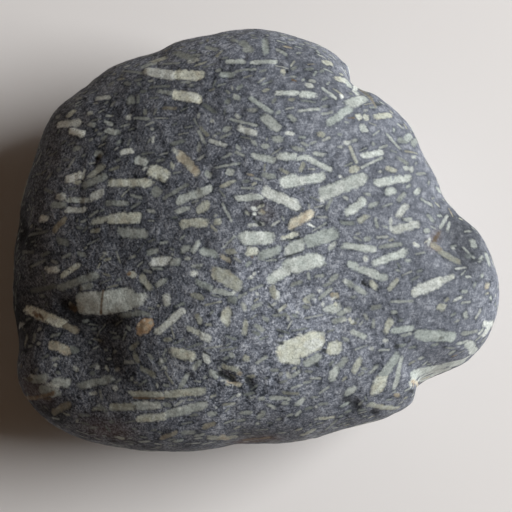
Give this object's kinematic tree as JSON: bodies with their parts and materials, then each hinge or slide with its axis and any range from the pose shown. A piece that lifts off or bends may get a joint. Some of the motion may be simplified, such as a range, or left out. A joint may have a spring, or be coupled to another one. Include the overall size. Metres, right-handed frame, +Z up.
{
  "type": "river pebble",
  "caption": "Flattish water-worn cobble with a narrow blunt lobe at one end and a flat patch underneath that it rests on.",
  "frame": {"origin": "on the ground, under the middle of the stone's box", "axes": "+X along the length to the narrow lobe, +Y to the back of the plan outline, +Z up through the thickness"},
  "size_m": [0.0995, 0.0876, 0.0419],
  "materials": {
    "porphyry": "water-worn matt dark grey basalt with pale greenish feldspar laths"
  },
  "bodies": {
    "root": {"pebble": "porphyry"}
  },
  "joints": []
}
